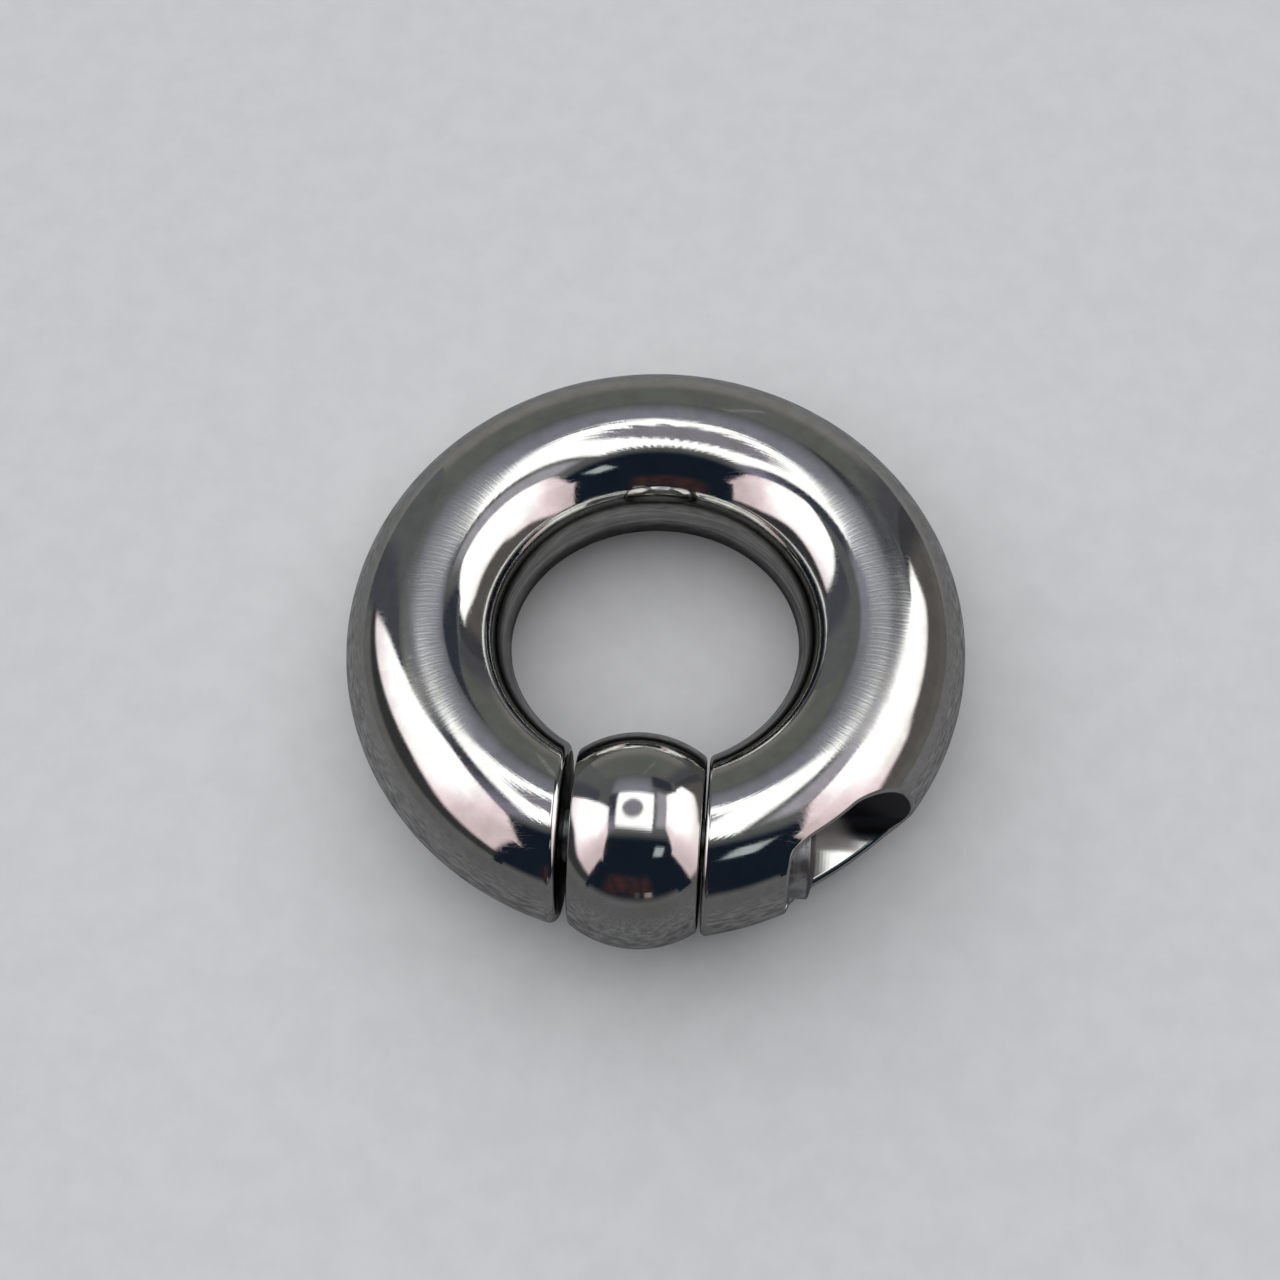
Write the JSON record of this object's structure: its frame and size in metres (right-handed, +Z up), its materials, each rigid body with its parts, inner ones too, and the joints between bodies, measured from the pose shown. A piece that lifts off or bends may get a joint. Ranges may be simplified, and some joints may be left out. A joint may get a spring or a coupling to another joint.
{
  "type": "captive bead ring",
  "caption": "Captive bead ring of heavy round steel wire, closed by a bead that a hidden socket screw holds between the cut ends, resting on its side.",
  "frame": {"origin": "on the surface that the ring lies on, under the middle of its footprint", "axes": "+Z up, out of the surface; +X along the screw, towards its head; the bead is on the -Y side, nearest the viewer of the picture"},
  "size_m": [0.0374, 0.038, 0.0125],
  "materials": {
    "ring_steel": "mirror-polished stainless steel with faint polishing lines",
    "bead_steel": "mirror-polished stainless steel",
    "screw_steel": "turned stainless steel, slightly dulled"
  },
  "bodies": {
    "root": {"ring": "ring_steel", "bead": "bead_steel", "screw": "screw_steel"}
  },
  "joints": []
}
